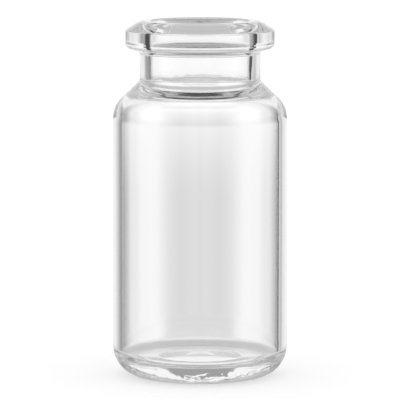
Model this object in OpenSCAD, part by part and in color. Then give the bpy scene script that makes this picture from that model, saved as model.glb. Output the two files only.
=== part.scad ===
// Glass sample vial with a crimp neck, drawn and rolled from one length of clear tubing.
// It is one solid of revolution about Z. Millimetres, +Z up, origin at the middle of the
// base, on the plane that the vial stands on.

/* [Body] */
// Height from the standing plane to the sealing face
vial_h = 46; // [38:0.5:90]
// Outside diameter of the body
body_d = 22.5; // [21:0.05:32]
// Thickness of the body's wall
wall = 1.15; // [0.8:0.05:1.8]

/* [Crimp flange] */
// Outside diameter of the flange that the cap is crimped under
flange_d = 19.25; // [18.6:0.05:20.4]
// Height of the flange, from the sealing face to its lower edge
flange_h = 3.45; // [2.6:0.05:4.4]
// Slope of the bevelled top, falling away from the mouth, in degrees
bevel_slope = 32; // [15:1:36]
// Slope of the underside, falling towards the neck, in degrees
underside_slope = 15; // [5:1:35]
// Rounding of the crown, where the sealing land turns down into the bevel
crown_r = 2.5; // [1:0.1:2.6]
// Rounding of the flange's upper edge
flange_top_r = 0.35; // [0.1:0.05:0.7]
// Rounding of the flange's lower edge
flange_low_r = 0.8; // [0.3:0.05:1]

/* [Mouth and neck] */
// Bore of the neck, which takes the stopper's plug
bore_d = 12.8; // [11.5:0.1:13.4]
// Width of the sealing land, from the bore to the line where the bevel would meet it
land_w = 1.3; // [1:0.05:1.4]
// Rounding of the lip inside the mouth
lip_r = 0.15; // [0.1:0.05:0.2]
// Outside diameter of the neck
neck_d = 15.6; // [15:0.1:17]
// Depth from the sealing face to the foot of the neck
neck_drop = 7.7; // [6.5:0.05:10]
// Fillet between the flange and the neck
flange_fillet_r = 0.5; // [0.2:0.05:0.8]

/* [Shoulder] */
// Slope of the shoulder outside, in degrees from level
shoulder_slope = 44; // [30:1:50]
// Flare at the foot of the neck
flare_r = 0.85; // [0.5:0.05:2.5]
// Rounding of the shoulder into the body
shoulder_r = 4; // [1:0.1:5]
// Thickness of the shoulder where it is thinnest
shoulder_wall = 0.85; // [0.6:0.05:1.4]
// Slope of the ceiling inside the shoulder, in degrees from level
ceiling_slope = 8; // [4:1:25]
// Rounding of the throat, where the bore opens into the body
throat_r = 0.5; // [0.3:0.05:1.4]
// Rounding inside the shoulder
ceiling_r = 2.8; // [1:0.1:3]

/* [Base] */
// Thickness of the floor at its middle
floor_t = 2.05; // [0.9:0.05:3]
// Rise of the push-up in the middle of the underside
push_up_h = 1.1; // [0.2:0.05:1.4]
// Diameter of the push-up's level middle, measured to the bends' meeting lines
push_up_d = 3.4; // [2:0.1:6]
// Rounding of the bends in the push-up and in the floor above it
push_up_r = 2.5; // [1:0.5:6]
// Width of the ring that the vial stands on, between the push-up and the heel
ring_w = 2.5; // [1.2:0.1:3]
// Rounding of the heel outside
heel_r = 3.7; // [2:0.1:4.2]
// Fall of the floor from its middle to the heel
floor_fall = 0.7; // [0.1:0.05:0.9]
// Rounding of the heel inside
inner_heel_r = 1.15; // [0.8:0.05:3.4]

/* [Hidden] */
$fn = 120;

body_r = body_d / 2;
inner_r = body_r - wall;
flange_r = flange_d / 2;
bore_r = bore_d / 2;
neck_r = neck_d / 2;
land_r = bore_r + land_w;
ring_r = body_r - heel_r;
push_up_edge_r = ring_r - ring_w;

bevel_z = vial_h - (flange_r - land_r) * tan(bevel_slope);
flange_low_z = vial_h - flange_h;
underside_z = flange_low_z - (flange_r - neck_r) * tan(underside_slope);
neck_foot_z = vial_h - neck_drop;
shoulder_z = neck_foot_z - (body_r - neck_r) * tan(shoulder_slope);
floor_z = push_up_h + floor_t;
floor_edge_z = floor_z - floor_fall;

// The throat's rounding and the shoulder's share the ceiling between them, and both get
// smaller where a slimmer body or a wider bore leaves too short a ceiling.
ceiling_run = (inner_r - bore_r) / cos(ceiling_slope);
roundings_run = (throat_r + ceiling_r) * tan(45 - ceiling_slope / 2);
fit = min(1, 0.95 * ceiling_run / roundings_run);
throat_arc_r = throat_r * fit;
ceiling_arc_r = ceiling_r * fit;

// The arc inside the shoulder keeps the shoulder's wall from the slope outside, and the
// ceiling runs from that arc up to the bore.
ceiling_middle_r = inner_r - ceiling_arc_r;
ceiling_middle_z = neck_foot_z - (ceiling_middle_r - neck_r) * tan(shoulder_slope)
    - (ceiling_arc_r + shoulder_wall) / cos(shoulder_slope);
ceiling_z = ceiling_middle_z + ceiling_arc_r * tan(45 - ceiling_slope / 2);
throat_z = ceiling_z + (inner_r - bore_r) * tan(ceiling_slope);

// The glass in section, anticlockwise from the middle of the underside: each corner is
// its radius from the axis, its height and its rounding.
SECTION = [
    [0, push_up_h, 0],
    [push_up_d / 2, push_up_h, push_up_r],
    [push_up_edge_r, 0, push_up_r],
    [body_r, 0, heel_r],
    [body_r, shoulder_z, shoulder_r],
    [neck_r, neck_foot_z, flare_r],
    [neck_r, underside_z, flange_fillet_r],
    [flange_r, flange_low_z, flange_low_r],
    [flange_r, bevel_z, flange_top_r],
    [land_r, vial_h, crown_r],
    [bore_r, vial_h, lip_r],
    [bore_r, throat_z, throat_arc_r],
    [inner_r, ceiling_z, ceiling_arc_r],
    [inner_r, floor_edge_z, inner_heel_r],
    [push_up_d / 2, floor_z, push_up_r],
    [0, floor_z, 0],
];

// Arcs are drawn a hair's breadth large, so that each crosses its two straight sides
hair = 0.0003;

LAST = len(SECTION) - 1;

function point(i) = [SECTION[i][0], SECTION[i][1]];
function rounding(i) = SECTION[i][2];
function unit(v) = v / norm(v);
function back(i) = unit(point(i - 1) - point(i));
function on(i) = unit(point(i + 1) - point(i));
function half_angle(i) = acos(back(i) * on(i)) / 2;
function reach(i) = rounding(i) / tan(half_angle(i));
function arc_start(i) = point(i) + back(i) * reach(i);
function arc_end(i) = point(i) + on(i) * reach(i);
function arc_middle(i) = point(i) + unit(back(i) + on(i)) * rounding(i) / sin(half_angle(i));
function is_round(i) = rounding(i) > 0;
function is_outside(i) = is_round(i) && cross(on(i), back(i)) > 0;
function is_inside(i) = is_round(i) && cross(on(i), back(i)) < 0;

module disc(i) {
    translate(arc_middle(i)) circle(rounding(i) + hair);
}

// What grinding takes off the outside corner i to leave its arc, with room to spare outside
module grinding(i) {
    middle = arc_middle(i);
    difference() {
        polygon([middle, for (p = [arc_start(i), point(i), arc_end(i)]) 2 * p - middle]);
        disc(i);
    }
}

// The section drawn with sharp outside corners, and with its inside corners filled to the
// middles of their arcs; then the discs of the inside arcs and the grindings come off.
module glass_section() {
    difference() {
        polygon([
            for (i = [0 : LAST])
                each is_inside(i) ? [arc_start(i), arc_middle(i), arc_end(i)] : [point(i)]
        ]);
        for (i = [0 : LAST]) {
            if (is_inside(i)) disc(i);
            if (is_outside(i)) grinding(i);
        }
    }
}

module glass_vial() {
    color([0.9, 0.93, 0.92, 0.35]) rotate_extrude() glass_section();
}

glass_vial();
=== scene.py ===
# %% [markdown]
# # A crimp-neck sample vial in clear glass
#
# The object is one piece of glass: a tube that was closed at one end over a
# flame, drawn in to a neck, and rolled outwards into a thick flange, over which
# an aluminium cap is crimped. Everything that the eye sees of it is light bent
# or mirrored by two skins of glass, the outer one and the inner one, so this
# lesson spends its care on three things: an exact section, a clean smooth mesh
# and a studio that gives the glass something to show.

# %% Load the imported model
import math

import bpy
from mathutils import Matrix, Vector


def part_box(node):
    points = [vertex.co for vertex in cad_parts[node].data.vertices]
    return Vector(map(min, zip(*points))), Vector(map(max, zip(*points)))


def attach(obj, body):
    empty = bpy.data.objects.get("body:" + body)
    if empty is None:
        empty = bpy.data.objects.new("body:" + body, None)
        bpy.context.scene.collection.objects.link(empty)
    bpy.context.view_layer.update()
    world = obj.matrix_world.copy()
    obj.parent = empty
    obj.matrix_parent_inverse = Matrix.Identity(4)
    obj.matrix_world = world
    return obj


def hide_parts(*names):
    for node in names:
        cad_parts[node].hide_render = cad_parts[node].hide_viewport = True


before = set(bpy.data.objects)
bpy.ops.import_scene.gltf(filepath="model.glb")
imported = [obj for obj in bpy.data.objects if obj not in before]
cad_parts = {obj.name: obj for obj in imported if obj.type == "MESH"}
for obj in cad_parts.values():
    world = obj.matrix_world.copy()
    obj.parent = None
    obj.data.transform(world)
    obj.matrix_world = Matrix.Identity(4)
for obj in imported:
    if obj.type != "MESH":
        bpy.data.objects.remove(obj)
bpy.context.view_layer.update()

# %% [markdown]
# ## Camera
#
# A small thing is looked at from about half a metre, through a long lens, a
# little above its rim. Seen so, the mouth is a thin ellipse and the base a
# fuller one. The camera comes first, so that each later step can be judged
# through it.

# %% Camera
MM = 0.001                   # Blender works in metres, the sizes are in millimetres
CAMERA_AWAY = 450 * MM       # from the vial's axis, along the table
CAMERA_HEIGHT = 75 * MM      # above the table
CAMERA_TILT = 6.62           # degrees below level
LENS_LENGTH = 315.5          # millimetres, for a sensor 36 mm wide

camera_data = bpy.data.cameras.new("camera")
camera_data.lens = LENS_LENGTH
camera = bpy.data.objects.new("camera", camera_data)
camera.location = (0, -CAMERA_AWAY, CAMERA_HEIGHT)
camera.rotation_euler = (math.radians(90 - CAMERA_TILT), 0, 0)
bpy.context.scene.collection.objects.link(camera)
bpy.context.scene.camera = camera
bpy.context.scene.view_settings.view_transform = "Standard"
print("camera at", tuple(camera.location))

# %% [markdown]
# ## The section
#
# A vial is turned in a flame, so half of its section, swept round its axis, is
# the whole shape. Glass has no sharp corner, and a corner with a rounding is the
# shortest way to say so: the outline below is a list of corners, each with the
# radius that the flame or the forming roller left there. It starts in the middle
# of the underside, goes up the outside, over the rim and down the inside.

# %% Sizes of the vial
low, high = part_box("glass_vial")
HEIGHT = high[2] - low[2]
BODY_R = (high[0] - low[0]) / 2
WALL = 1.15 * MM             # the tube's wall
INSIDE_R = BODY_R - WALL

FLANGE_R = 19.25 * MM / 2    # the rolled edge that the cap grips
FLANGE_H = 3.45 * MM         # from the top to the flange's lower corner
BORE_R = 12.8 * MM / 2       # the hole that the stopper's plug enters
NECK_R = 15.6 * MM / 2
LAND = 1.3 * MM              # from the bore to where the bevel starts
BEVEL = 32                   # degrees that the bevel falls from level
UNDERSIDE = 15               # degrees that the flange's underside falls towards the neck
NECK_FOOT = 7.7 * MM         # from the top to the shoulder's upper corner
SHOULDER = 44                # degrees that the shoulder falls from level
SHOULDER_WALL = 0.85 * MM    # thickness of the shoulder at its thinnest
CEILING = 8                  # degrees that the ceiling of the inside falls from level

RING = 2.5 * MM              # width of the ring that the vial stands on
PUSH_UP = 1.1 * MM           # height of the hollow under the base
PUSH_UP_R = 1.7 * MM         # radius of the hollow's flat middle
FLOOR = 2.05 * MM            # thickness of the base at its middle
FLOOR_FALL = 0.7 * MM        # how far the floor falls towards the wall
print("vial", round(HEIGHT / MM, 2), "mm high and", round(2 * BODY_R / MM, 2), "mm across")

# %% Roundings of its corners
PUSH_UP_BEND = 2.5 * MM      # in the hollow under the base, and in the floor above it
HEEL_BEND = 3.7 * MM         # between the base and the wall
SHOULDER_BEND = 4 * MM       # between the wall and the shoulder
FLARE_BEND = 0.85 * MM       # at the foot of the neck
FLANGE_FILLET = 0.5 * MM     # between the neck and the flange
FLANGE_LOW_BEND = 0.8 * MM
FLANGE_TOP_BEND = 0.35 * MM
CROWN_BEND = 2.5 * MM        # where the sealing land turns down into the bevel
LIP_BEND = 0.15 * MM         # inside the mouth
THROAT_BEND = 0.5 * MM       # where the bore opens into the body
CEILING_BEND = 2.8 * MM      # inside the shoulder
INNER_HEEL_BEND = 1.15 * MM  # between the wall and the floor
print("roundings from", round(LIP_BEND / MM, 2), "to", round(SHOULDER_BEND / MM, 2), "mm")


# %% Corners of the section
def fall(width, degrees):
    """How far a slope comes down over a width."""
    return width * math.tan(math.radians(degrees))


land_r = BORE_R + LAND
bevel_z = HEIGHT - fall(FLANGE_R - land_r, BEVEL)
flange_low_z = HEIGHT - FLANGE_H
under_z = flange_low_z - fall(FLANGE_R - NECK_R, UNDERSIDE)
foot_z = HEIGHT - NECK_FOOT
shoulder_z = foot_z - fall(BODY_R - NECK_R, SHOULDER)
ring_r = BODY_R - HEEL_BEND
floor_z = PUSH_UP + FLOOR

# The bend inside the shoulder keeps the shoulder's wall from the slope outside
bend_r = INSIDE_R - CEILING_BEND
bend_z = foot_z - fall(bend_r - NECK_R, SHOULDER)
bend_z -= (CEILING_BEND + SHOULDER_WALL) / math.cos(math.radians(SHOULDER))
ceiling_z = bend_z + fall(CEILING_BEND, 45 - CEILING / 2)
throat_z = ceiling_z + fall(INSIDE_R - BORE_R, CEILING)

# Each corner is its distance from the axis, its height and its rounding
SECTION = [
    (0, PUSH_UP, 0),
    (PUSH_UP_R, PUSH_UP, PUSH_UP_BEND),
    (ring_r - RING, 0, PUSH_UP_BEND),
    (BODY_R, 0, HEEL_BEND),
    (BODY_R, shoulder_z, SHOULDER_BEND),
    (NECK_R, foot_z, FLARE_BEND),
    (NECK_R, under_z, FLANGE_FILLET),
    (FLANGE_R, flange_low_z, FLANGE_LOW_BEND),
    (FLANGE_R, bevel_z, FLANGE_TOP_BEND),
    (land_r, HEIGHT, CROWN_BEND),
    (BORE_R, HEIGHT, LIP_BEND),
    (BORE_R, throat_z, THROAT_BEND),
    (INSIDE_R, ceiling_z, CEILING_BEND),
    (INSIDE_R, floor_z - FLOOR_FALL, INNER_HEEL_BEND),
    (PUSH_UP_R, floor_z, PUSH_UP_BEND),
    (0, floor_z, 0),
]
print(len(SECTION), "corners from the axis round to the axis")
print("throat", round((HEIGHT - throat_z) / MM, 3), "mm below the top")

# %% [markdown]
# ## Drawing the outline
#
# The outline could be typed as a long list of points, but a pen is easier to
# read. The pen is one vertex. Extrude draws a straight line with it, and Spin
# swings it round a middle and so draws a true arc. Each rounding starts and ends
# where it is tangent to the two straight lines that meet in its corner.

# %% The pen
LINE_STEP = 1.2 * MM         # longest piece of a straight line
ARC_STEP = 4                 # degrees of one piece of an arc
SEAM = 0.06 * MM             # a short piece beside each arc keeps the shading of the wall true
TOO_SHORT = 0.0001 * MM      # a line shorter than this isn't drawn


def pen_down(x, z):
    """Starts a mesh of one vertex, at a point of the outline."""
    bpy.ops.object.select_all(action="DESELECT")
    bpy.ops.mesh.primitive_plane_add(size=1 * MM, location=(0, 0, 0))
    bpy.ops.object.mode_set(mode="EDIT")
    bpy.ops.mesh.select_all(action="SELECT")
    bpy.ops.mesh.merge(type="CENTER")
    bpy.ops.transform.translate(value=(x, 0, z))
    return bpy.context.object


def draw(x, z):
    """Extrudes the pen's vertex by one straight piece."""
    bpy.ops.mesh.extrude_region_move(TRANSFORM_OT_translate={"value": (x, 0, z)})


def draw_line(start, end):
    """A straight line, in pieces that are short beside the arcs."""
    length = math.dist(start, end)
    if length < TOO_SHORT:
        return
    along = ((end[0] - start[0]) / length, (end[1] - start[1]) / length)
    seam = min(SEAM, length / 3)
    middle = length - 2 * seam
    count = max(1, math.ceil(middle / LINE_STEP))
    for piece in [seam] + [middle / count] * count + [seam]:
        draw(along[0] * piece, along[1] * piece)


def draw_arc(middle, turn):
    """Swings the pen's vertex round a middle, turn in radians."""
    count = max(2, math.ceil(math.degrees(abs(turn)) / ARC_STEP))
    bpy.ops.mesh.spin(steps=count, angle=turn, center=(middle[0], 0, middle[1]), axis=(0, 1, 0))


# %% Draw the section
def rounding(before, corner, after, radius):
    """Start, end, middle and turn of the arc that rounds a corner."""
    way_in = math.atan2(corner[1] - before[1], corner[0] - before[0])
    way_out = math.atan2(after[1] - corner[1], after[0] - corner[0])
    turn = (way_out - way_in + math.pi) % (2 * math.pi) - math.pi
    reach = radius * math.tan(abs(turn) / 2)
    start = (corner[0] - reach * math.cos(way_in), corner[1] - reach * math.sin(way_in))
    end = (corner[0] + reach * math.cos(way_out), corner[1] + reach * math.sin(way_out))
    side = math.copysign(radius, turn)
    middle = (start[0] - side * math.sin(way_in), start[1] + side * math.cos(way_in))
    return start, end, middle, turn


def draw_section(corners):
    """The whole outline, from the first corner to the last."""
    outline = pen_down(corners[0][0], corners[0][1])
    place = corners[0][:2]
    for before, corner, after in zip(corners, corners[1:], corners[2:]):
        start, end, middle, turn = rounding(before, corner, after, corner[2])
        draw_line(place, start)
        draw_arc(middle, turn)
        place = end
    draw_line(place, corners[-1][:2])
    return outline


glass = draw_section(SECTION)
glass.name = "vial_glass"
bpy.ops.object.mode_set(mode="OBJECT")
print(len(glass.data.vertices), "points along the outline")

# %% [markdown]
# ## Turning the glass
#
# One more Spin, this time round the vial's own axis, turns the outline into the
# vial. A Screw modifier would do the same, but after the operator the mesh can
# be mended at once. The last ring falls on the first and the ends fall on the
# axis, so their vertices are merged, and the normals are set outwards
# afterwards, because the renderer has to know on which side of the skin the
# glass is.

# %% Sweep the outline round the axis
ROUND_STEPS = 300
MERGE = 0.001 * MM           # vertices nearer to each other than this become one

bpy.ops.object.mode_set(mode="EDIT")
bpy.ops.mesh.select_all(action="SELECT")
bpy.ops.mesh.spin(steps=ROUND_STEPS, angle=2 * math.pi, center=(0, 0, 0), axis=(0, 0, 1))
bpy.ops.mesh.select_all(action="SELECT")
bpy.ops.mesh.remove_doubles(threshold=MERGE)
bpy.ops.mesh.normals_make_consistent(inside=False)
bpy.ops.object.mode_set(mode="OBJECT")
bpy.ops.object.select_all(action="DESELECT")
glass.select_set(True)
bpy.ops.object.shade_smooth()
print(len(glass.data.polygons), "faces in the glass")

# %% [markdown]
# ## Waves in the worked glass
#
# A drawn tube is true, but the heel and the neck were worked with a flame and
# rollers, and their skin is left with waves about a tenth of a millimetre deep.
# A bump in the material could fake them, but it moves no skin, and the place of
# each skin bends the light too. So the mesh itself is moved: a Displace modifier
# reads a texture of clouds, a vertex group says where it works, and the modifier
# is applied.


# %% A helper that sinks the skin
def between(value, zero_at, one_at):
    """0 on one side of a zone, 1 on the other and a straight ramp across it."""
    return min(1, max(0, (value - zero_at) / (one_at - zero_at)))


def sink_skin(piece, name, depth, length, weight):
    """Sinks the skin by up to a depth, in waves of a length, where weight says."""
    group = piece.vertex_groups.new(name=name)
    for vertex in piece.data.vertices:
        amount = weight(vertex.co)
        if amount > 0:
            group.add([vertex.index], amount, "REPLACE")
    waves = bpy.data.textures.new(name, "CLOUDS")
    waves.noise_scale = length
    waves.noise_depth = 1
    sink = piece.modifiers.new(name, "DISPLACE")
    sink.texture = waves
    sink.texture_coords = "LOCAL"
    sink.vertex_group = name
    sink.strength = depth
    sink.mid_level = 1           # the lightest cloud leaves the skin where it is
    bpy.context.view_layer.objects.active = piece
    bpy.ops.object.modifier_apply(modifier=name)


# %% Waves on the heel
HEEL_DEPTH = 0.13 * MM
HEEL_LENGTH = 1.0 * MM
RING_FADE = (0.1 * MM, 0.5 * MM)     # heights where the waves start, above the standing ring
HEEL_FADE = (2.5 * MM, 1.3 * MM)     # heights where they end, below the wall
MIDDLE_FADE = (6 * MM, 9 * MM)       # distances from the axis where they start


def on_heel(at):
    """1 on the heel, 0 on the base and on the wall."""
    above_ring = between(at.z, *RING_FADE)
    below_wall = between(at.z, *HEEL_FADE)
    return above_ring * below_wall * between(math.hypot(at.x, at.y), *MIDDLE_FADE)


sink_skin(glass, "heel_waves", HEEL_DEPTH, HEEL_LENGTH, on_heel)
print("waves on the heel up to", round(HEEL_DEPTH / MM, 2), "mm deep")

# %% Waves on the neck
NECK_DEPTH = 0.06 * MM
NECK_LENGTH = 1.8 * MM
NECK_FADE = (36 * MM, 38 * MM)       # heights where the waves start, on the shoulder
CROWN_FADE = (45 * MM, 43 * MM)      # heights where they end, below the mouth
FLANGE_FADE = (41.6 * MM, 40.6 * MM)     # heights between the flange and the neck
FLANGE_SHARE = 0.3                   # of the neck's depth, on the flange


def on_neck(at):
    """1 on the neck, a share on the flange, and 0 on the mouth and on the body."""
    share = FLANGE_SHARE + (1 - FLANGE_SHARE) * between(at.z, *FLANGE_FADE)
    return between(at.z, *NECK_FADE) * between(at.z, *CROWN_FADE) * share


sink_skin(glass, "neck_waves", NECK_DEPTH, NECK_LENGTH, on_neck)
print("waves on the neck up to", round(NECK_DEPTH / MM, 2), "mm deep")

# %% [markdown]
# ## Glass
#
# Clear borosilicate glass is smooth, colourless and bends light by an index of
# about 1.5. A Glass BSDF would look the same, but the Principled BSDF is the one
# that other programs read, so it is used, with all its light transmitted. A
# faint bump adds the finest waves, and it is stronger where the glass was
# worked. Daylight gets through to the table by way of a transparent shader for
# shadow rays, since a path tracer finds the light behind bent glass only by luck.


# %% Helpers for nodes
def feed(tree, socket, value):
    """Sets a socket to a constant, or links another node's output to it."""
    if isinstance(value, bpy.types.NodeSocket):
        tree.links.new(value, socket)
    else:
        socket.default_value = value


def add_node(tree, kind, **inputs):
    """A new node with its sockets fed by name."""
    node = tree.nodes.new(kind)
    for name, value in inputs.items():
        feed(tree, node.inputs[name.replace("_", " ")], value)
    return node


def place_on(tree):
    """The place of a point on the piece."""
    return add_node(tree, "ShaderNodeTexCoord").outputs["Object"]


def axes_of(tree, place):
    """A place as its X, Y and Z."""
    return add_node(tree, "ShaderNodeSeparateXYZ", Vector=place).outputs


def calculate(tree, operation, *values):
    """What a Math node makes of its values."""
    node = add_node(tree, "ShaderNodeMath")
    node.operation = operation
    for socket, value in zip(node.inputs, values):
        feed(tree, socket, value)
    return node.outputs["Value"]


def step(tree, source, start, end):
    """0 before start, 1 after end and a soft step between them."""
    node = add_node(tree, "ShaderNodeMapRange", Value=source, From_Min=start, From_Max=end)
    node.interpolation_type = "SMOOTHSTEP"
    return node.outputs["Result"]


def mixed(tree, factor, first, second):
    """One value where the factor is 0, the other where it is 1."""
    # A new Mix node mixes plain numbers, and its first sockets are the ones for them
    return add_node(tree, "ShaderNodeMix", Factor=factor, A=first, B=second).outputs["Result"]


# %% Helpers for materials
def start_material(name):
    """A material without nodes, and its tree."""
    material = bpy.data.materials.new(name)
    material.use_nodes = True
    material.node_tree.nodes.clear()
    return material, material.node_tree


def choose(tree, factor, first, second):
    """One shader where the factor is 0, the other where it is 1."""
    mix = add_node(tree, "ShaderNodeMixShader", Fac=factor)
    feed(tree, mix.inputs[1], first)
    feed(tree, mix.inputs[2], second)
    return mix.outputs["Shader"]


def end_material(tree, shader):
    """Gives the material its finished shader."""
    add_node(tree, "ShaderNodeOutputMaterial", Surface=shader)


# %% Glass material
GLASS_INDEX = 1.5
SHADOW_TINT = (0.93, 0.93, 0.93, 1)  # what the glass lets through to the table
WAVES_IN_METRE = 420                 # the finest waves are 2 to 3 mm long
WAVE_DEPTH = 0.012 * MM
WALL_WAVES = 0.04                    # strength of the waves on the drawn wall
NECK_WAVES = 0.35                    # on the shoulder and the neck
HEEL_WAVES = 1.0                     # on the heel
HEEL_BUMP_FADE = (7 * MM, 3 * MM)    # heights from the wall down to the heel
NECK_BUMP_FADE = (33 * MM, 37 * MM)  # heights from the wall up to the neck


def glass_material():
    """Clear glass that daylight shines through."""
    material, tree = start_material("clear_glass")
    place = place_on(tree)
    height = axes_of(tree, place)["Z"]
    waves = add_node(tree, "ShaderNodeTexNoise", Vector=place, Scale=WAVES_IN_METRE)
    worked = step(tree, height, *NECK_BUMP_FADE)
    heel = step(tree, height, *HEEL_BUMP_FADE)
    strength = mixed(tree, heel, mixed(tree, worked, WALL_WAVES, NECK_WAVES), HEEL_WAVES)
    bump = add_node(tree, "ShaderNodeBump", Strength=strength, Distance=WAVE_DEPTH,
                    Height=waves.outputs["Fac"])
    shader = add_node(tree, "ShaderNodeBsdfPrincipled", Base_Color=(1, 1, 1, 1), Roughness=0,
                      IOR=GLASS_INDEX, Transmission_Weight=1, Normal=bump.outputs["Normal"])
    clear = add_node(tree, "ShaderNodeBsdfTransparent", Color=SHADOW_TINT)
    shadow = add_node(tree, "ShaderNodeLightPath").outputs["Is Shadow Ray"]
    end_material(tree, choose(tree, shadow, shader.outputs["BSDF"], clear.outputs["BSDF"]))
    return material


glass.data.materials.clear()
glass.data.materials.append(glass_material())
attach(glass, "root")
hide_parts("glass_vial")
print("glass with an index of", GLASS_INDEX)

# %% [markdown]
# ## A paper drum
#
# Glass shows what stands round it. A studio surrounds it with white paper and
# hangs black strips beside the backdrop, and the strips draw the dark lines
# along the glass's edges. Panels could be placed one by one, but the glass shows
# each of them in many places at once. Here one drum of glowing paper does that
# work: its material says how light the paper is in each direction. Only rays
# that the glass bends or mirrors see it. The camera looks through it.
#
# A Light Path node counts how often light crossed a skin of the glass
# (Transmission Depth) and how often it was bent or mirrored in all (Ray Depth).
# So light that came through both walls of the body can be given softer paper
# than light that only went through the thick glass of heel, neck or flange.

# %% Size of the drum
DRUM_R = 240 * MM
DRUM_LOW = -61 * MM
DRUM_HIGH = 260 * MM
print("drum", round((DRUM_HIGH - DRUM_LOW) / MM), "mm high and", round(2 * DRUM_R / MM), "mm across")

# %% Levels round the wall
DEGREE = math.radians(1)

# Degrees from the middle of the backdrop, to the left and to the right, and the level there.
# The black strip on the left hangs from 53 to 64 degrees, the one on the right from 45 to 54.
LEFT_PAPER = [(180, 0.22), (140, 0.25), (100, 0.48), (74, 0.50), (68, 0.30), (64, 0.00),
              (53.5, 0.01), (52, 0.26), (46, 0.40), (42, 0.32), (38, 0.40), (34, 0.55),
              (30, 0.70), (24, 0.86), (16, 0.95)]
RIGHT_PAPER = [(0, 0.96), (16, 0.95), (24, 0.85), (30, 0.72), (34, 0.56), (36, 0.54),
               (38, 0.66), (43.4, 0.70), (45.0, 0.02), (52, 0.00), (54, 0.03), (57, 0.16),
               (63, 0.40), (74, 0.50), (100, 0.48), (140, 0.25), (180, 0.22)]
AROUND = [(-turn, level) for turn, level in LEFT_PAPER] + RIGHT_PAPER

# Light that crossed both walls meets the same pattern on all four sides, mirrored: degrees
# from the middle of a side, and the level there, low down and higher up
THROUGH_LOW = [(0, 0.755), (2.9, 0.765), (3.5, 0.82), (4.1, 0.93), (5.0, 1.0), (9, 0.97),
               (13, 0.88), (18, 0.76), (23, 0.55), (28, 0.42), (33, 0.50), (40, 0.90),
               (45, 0.95)]
THROUGH_HIGH = [(0, 1.02), (10, 1.05), (22, 1.02), (28, 0.85), (36, 0.72), (45, 0.90)]
THROUGH_FADE = (-6 * MM, 20 * MM)    # heights where low down turns into higher up
HALF_SIDE = 45 * DEGREE
BOTH_WALLS = 3                       # light that crossed more skins than this crossed both walls
print(len(AROUND), "levels round the wall")

# %% Levels up the wall, on the lid and on the ground
# Millimetres above the table, and the level there, at the back and at the front
UPWARD_BACK = [(60, 1.0), (95, 0.95), (128, 0.65), (200, 0.55), (260, 0.45)]
UPWARD_FRONT = [(40, 0.90), (60, 0.80), (100, 0.50), (140, 0.32), (200, 0.28), (230, 0.48),
                (260, 0.50)]
FRONT_FADE = (60 * MM, -60 * MM)     # places along the table, from back to front
BACKDROP_FADE = (32 * MM, 52 * MM)   # heights where the backdrop's pattern ends
STRIP_FADE = (75 * MM, 92 * MM)      # heights where the strips and the rest of it end
BACKDROP_EDGE = (50 * DEGREE, 46 * DEGREE)   # turns to either side where the backdrop ends

# Millimetres from the drum's axis, and the level there
LID = [(0, 0.02), (145, 0.03), (162, 0.10), (173, 0.46), (215, 0.48), (240, 0.30)]
GROUND = [(0, 0.50), (75, 0.60), (130, 0.58), (185, 0.62), (215, 0.80), (240, 0.88)]
LID_EDGE = (DRUM_HIGH - 2 * MM, DRUM_HIGH - 1 * MM)
GROUND_EDGE = (DRUM_LOW + 1 * MM, DRUM_LOW + 2 * MM)
FOOT_FADE = (-36 * MM, DRUM_LOW + 2 * MM)    # heights where the wall turns into the ground
print("lid", LID[0][1], "to", LID[-1][1], "and ground", GROUND[0][1], "to", GROUND[-1][1])

# %% Flags, soft box and stray light
FLAG = 0.02                          # level of the black flags that stand above the strips
FLAG_START = (52 * DEGREE, 55 * DEGREE)      # turns to either side
FLAG_END = (69 * DEGREE, 66 * DEGREE)
FLAG_ON_LID = (165 * MM, 180 * MM)   # distances from the axis where they start on the lid

SOFT_BOX = 2.6                       # level of the soft box, which stands in front
SOFT_BOX_FADE = (15 * MM, 125 * MM)  # heights of its soft lower edge

# Light that wandered inside a wall before it came out, going down or up
WANDERED = 8                         # it was bent or mirrored more often than this
STRAY = (0.30, 0.62)
STRAY_FADE = (-22 * MM, 4 * MM)      # heights on the drum where down turns into up
print("soft box", SOFT_BOX, "and flags", FLAG)


# %% Helpers for glowing paper
def ramp(tree, source, first, last, stops, unit):
    """Grey levels strung along a source that runs from first to last, their places in a unit."""
    spread = add_node(tree, "ShaderNodeMapRange", Value=source, From_Min=first, From_Max=last)
    node = add_node(tree, "ShaderNodeValToRGB", Fac=spread.outputs["Result"])
    row = node.color_ramp.elements
    row.remove(row[-1])
    for index, (place, level) in enumerate(stops):
        position = (place * unit - first) / (last - first)
        stop = row[0] if index == 0 else row.new(position)
        stop.position = position
        stop.color = (level, level, level, 1)
    return node.outputs["Color"]


def from_axis(tree, axes):
    """Distance from the drum's axis."""
    squares = [calculate(tree, "MULTIPLY", axis, axis) for axis in (axes["X"], axes["Y"])]
    return calculate(tree, "SQRT", calculate(tree, "ADD", *squares))


def glow(tree, level):
    """Paper that glows with a level of grey."""
    return add_node(tree, "ShaderNodeEmission", Strength=level).outputs["Emission"]


def crossed_both_walls(tree, path):
    """1 for light that crossed both walls of the body, else 0."""
    return calculate(tree, "GREATER_THAN", path["Transmission Depth"], BOTH_WALLS)


def hide_from_camera(piece):
    """Leaves a stage piece to the rays that glass bends and mirrors."""
    piece.visible_camera = False
    piece.visible_diffuse = False
    piece.visible_shadow = False


# %% Paper of the wall
def pattern_level(tree, path, turn, height):
    """Paper and strips, and softer paper for light that crossed both walls of the body."""
    strips = ramp(tree, turn, -math.pi, math.pi, AROUND, DEGREE)
    side = calculate(tree, "PINGPONG", turn, HALF_SIDE)
    low_down = ramp(tree, side, 0, HALF_SIDE, THROUGH_LOW, DEGREE)
    higher = ramp(tree, side, 0, HALF_SIDE, THROUGH_HIGH, DEGREE)
    softer = mixed(tree, step(tree, height, *THROUGH_FADE), low_down, higher)
    return mixed(tree, crossed_both_walls(tree, path), strips, softer)


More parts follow.
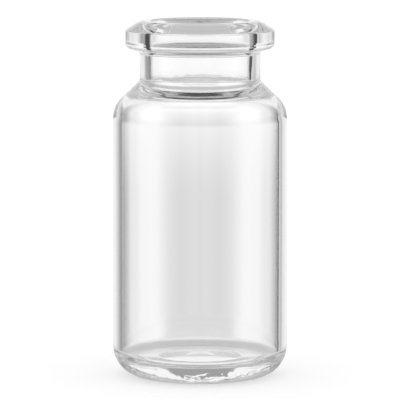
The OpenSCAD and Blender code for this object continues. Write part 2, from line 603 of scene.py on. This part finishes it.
def upper_level(tree, height, front, flag):
    """Plain paper that gets darker upwards, and the flags in it."""
    at_back = ramp(tree, height, DRUM_LOW, DRUM_HIGH, UPWARD_BACK, MM)
    at_front = ramp(tree, height, DRUM_LOW, DRUM_HIGH, UPWARD_FRONT, MM)
    return mixed(tree, flag, mixed(tree, front, at_back, at_front), FLAG)


def wall_level(tree, aside, height, pattern, upper):
    """The whole wall, from the ground's level at its foot up to the lid."""
    backdrop = step(tree, aside, *BACKDROP_EDGE)
    early = calculate(tree, "MULTIPLY", backdrop, step(tree, height, *BACKDROP_FADE))
    wall = mixed(tree, early, pattern, upper)
    wall = mixed(tree, step(tree, height, *STRIP_FADE), wall, upper)
    return mixed(tree, step(tree, height, *FOOT_FADE), wall, GROUND[-1][1])


# %% Paper of the whole drum
def drum_level(tree, path, axes, front):
    """Wall, lid and ground."""
    height = axes["Z"]
    radius = from_axis(tree, axes)
    turn = calculate(tree, "ARCTAN2", axes["X"], axes["Y"])
    aside = calculate(tree, "ABSOLUTE", turn)
    flag = calculate(tree, "MULTIPLY", step(tree, aside, *FLAG_START),
                     step(tree, aside, *FLAG_END))
    pattern = pattern_level(tree, path, turn, height)
    upper = upper_level(tree, height, front, flag)
    wall = wall_level(tree, aside, height, pattern, upper)
    lid_flag = calculate(tree, "MULTIPLY", step(tree, radius, *FLAG_ON_LID), flag)
    lid = mixed(tree, lid_flag, ramp(tree, radius, 0, DRUM_R, LID, MM), FLAG)
    ground = ramp(tree, radius, 0, DRUM_R, GROUND, MM)
    level = mixed(tree, step(tree, height, *LID_EDGE), wall, lid)
    return mixed(tree, step(tree, height, *GROUND_EDGE), ground, level)


def paper_material():
    """Glowing paper, a soft box that only the outer skin mirrors, and stray light."""
    material, tree = start_material("paper_drum")
    path = add_node(tree, "ShaderNodeLightPath").outputs
    axes = axes_of(tree, place_on(tree))
    front = step(tree, axes["Y"], *FRONT_FADE)
    level = drum_level(tree, path, axes, front)

    mirrored = calculate(tree, "LESS_THAN", path["Transmission Depth"], 1)
    box = calculate(tree, "MULTIPLY", front, mirrored)
    box = calculate(tree, "MULTIPLY", box, step(tree, axes["Z"], *SOFT_BOX_FADE))
    level = mixed(tree, box, level, SOFT_BOX)

    wandered = calculate(tree, "GREATER_THAN", path["Ray Depth"], WANDERED)
    stray = mixed(tree, step(tree, axes["Z"], *STRAY_FADE), *STRAY)
    end_material(tree, glow(tree, mixed(tree, wandered, level, stray)))
    return material


# %% The drum
DRUM_SIDES = 180

bpy.ops.object.select_all(action="DESELECT")
bpy.ops.mesh.primitive_cylinder_add(vertices=DRUM_SIDES, radius=DRUM_R,
                                    depth=DRUM_HIGH - DRUM_LOW,
                                    location=(0, 0, (DRUM_HIGH + DRUM_LOW) / 2))
drum = bpy.context.object
drum.name = "paper_drum"
bpy.ops.object.transform_apply(location=True)
drum.data.materials.append(paper_material())
hide_from_camera(drum)
print("drum of", len(drum.data.polygons), "faces")

# %% [markdown]
# ## A light plate and a grey card
#
# The thick base works as a lens and shows what lies right under it and close
# behind it: paper lit through the glass, and a darker patch. The drum stands too
# far away for that, and a lit table would spoil the shadow, so two small pieces
# are added. A round plate glows just below the base, with painted light for the
# paper lit through the glass and painted shade for the table in the vial's
# shadow. An upright card glows behind the vial, grey with soft white ends, so
# that no edge of it shows in the glass.

# %% Plate under the base
PLATE_R = 13 * MM
PLATE_SIDES = 96
PLATE_DROP = 0.6 * MM        # below the base
# Painted shade: the level for light that didn't cross both walls is the table in the vial's shadow
PLATE_PAINTED_SHADE = 0.45         # level for light that didn't cross both walls
# Painted light: in front, deep rays see the paper lit through the glass; at the back the level is
# darker
PLATE_DEEP = (1.0, 0.50)     # levels for light that did, in front and at the back
PLATE_FADE = (0, 5 * MM)     # distances behind the axis where front turns into back


def plate_material():
    """Glowing plate of painted shade for shallow rays, and of painted light in front and a darker
    level at the back for deep ones.
    """
    material, tree = start_material("light_plate")
    path = add_node(tree, "ShaderNodeLightPath").outputs
    back = axes_of(tree, place_on(tree))["Y"]
    deep = mixed(tree, step(tree, back, *PLATE_FADE), *PLATE_DEEP)
    level = mixed(tree, crossed_both_walls(tree, path), PLATE_PAINTED_SHADE, deep)
    end_material(tree, glow(tree, level))
    return material


bpy.ops.object.select_all(action="DESELECT")
bpy.ops.mesh.primitive_circle_add(vertices=PLATE_SIDES, radius=PLATE_R, fill_type="NGON",
                                  location=(0, 0, -PLATE_DROP))
plate = bpy.context.object
plate.name = "light_plate"
bpy.ops.object.transform_apply(location=True)
plate.data.materials.append(plate_material())
hide_from_camera(plate)
print("plate", round(2 * PLATE_R / MM), "mm across")

# %% Card behind the vial
CARD_WIDE = 12 * MM
CARD_LOW = -6 * MM
CARD_HIGH = 4.5 * MM
CARD_BEHIND = 26 * MM        # from the vial's axis
# The card is no lamp but glows: its middle is a painted grey and its ends a painted white
CARD = 0.36                  # level of its middle
CARD_FADE = (2.8 * MM, 5.6 * MM)     # from the card's middle to where it starts and ends to fade
CARD_BENDS = 2               # light that was bent or mirrored more often than this can see it


def card_material():
    """Glowing card, painted grey with white ends, clear to shallow rays and to those that crossed
    both walls.
    """
    material, tree = start_material("grey_card")
    path = add_node(tree, "ShaderNodeLightPath").outputs
    bent = calculate(tree, "GREATER_THAN", path["Ray Depth"], CARD_BENDS)
    hidden = mixed(tree, bent, 1, crossed_both_walls(tree, path))
    aside = calculate(tree, "ABSOLUTE", axes_of(tree, place_on(tree))["X"])
    end = step(tree, aside, *CARD_FADE)
    clear = add_node(tree, "ShaderNodeBsdfTransparent")
    paper = glow(tree, mixed(tree, end, CARD, 1))
    end_material(tree, choose(tree, hidden, paper, clear.outputs["BSDF"]))
    return material


bpy.ops.object.select_all(action="DESELECT")
bpy.ops.mesh.primitive_plane_add(size=1, location=(0, CARD_BEHIND, (CARD_LOW + CARD_HIGH) / 2),
                                 rotation=(math.radians(90), 0, 0))
card = bpy.context.object
card.name = "grey_card"
card.scale = (CARD_WIDE, CARD_HIGH - CARD_LOW, 1)
bpy.ops.object.transform_apply(location=True, rotation=True, scale=True)
card.data.materials.append(card_material())
hide_from_camera(card)
print("card", round(CARD_WIDE / MM), "mm wide and", round(CARD_BEHIND / MM), "mm behind the axis")

# %% [markdown]
# ## Table and daylight
#
# The table is a sheet of white paper in even daylight from all round. A lamp
# could light it, but it would also draw a hard glint on the glass. Paper that
# only scatters light would come out grey beside a white world, so it glows a
# little as well and meets the background without a line. The vial keeps some of
# the daylight off it and so leaves a soft shadow. The glass doesn't show the
# table, since drum and plate stand for all that it sees.

# %% Table
TABLE_SIZE = 6               # metres, so that its edge is out of sight
TABLE_GREY = 0.45            # share of the daylight that the paper scatters
TABLE_GLOW = 0.6


def table_material():
    """White paper that keeps a shadow."""
    material, tree = start_material("white_table")
    sheet = add_node(tree, "ShaderNodeBsdfDiffuse", Color=(TABLE_GREY, TABLE_GREY, TABLE_GREY, 1))
    both = add_node(tree, "ShaderNodeAddShader")
    feed(tree, both.inputs[0], sheet.outputs["BSDF"])
    feed(tree, both.inputs[1], glow(tree, TABLE_GLOW))
    end_material(tree, both.outputs["Shader"])
    return material


bpy.ops.object.select_all(action="DESELECT")
bpy.ops.mesh.primitive_plane_add(size=TABLE_SIZE, location=(0, 0, 0))
table = bpy.context.object
table.name = "table"
table.data.materials.append(table_material())
table.visible_transmission = False
table.visible_glossy = False
print("table", TABLE_SIZE, "m wide")

# %% Daylight
world = bpy.data.worlds.new("daylight")
world.use_nodes = True
background = world.node_tree.nodes["Background"]
background.inputs["Color"].default_value = (1, 1, 1, 1)
background.inputs["Strength"].default_value = 1
bpy.context.scene.world = world
print("daylight from all round")

# %% [markdown]
# ## Bounces
#
# Light that is trapped in a wall of glass is mirrored dozens of times before it
# comes out. With the usual few bounces it would end black and draw hard dark
# rims, so it is given enough of them.

# %% Bounces
BOUNCES = 160

cycles = bpy.context.scene.cycles
cycles.max_bounces = BOUNCES
cycles.transmission_bounces = BOUNCES
cycles.glossy_bounces = BOUNCES
print(BOUNCES, "bounces")
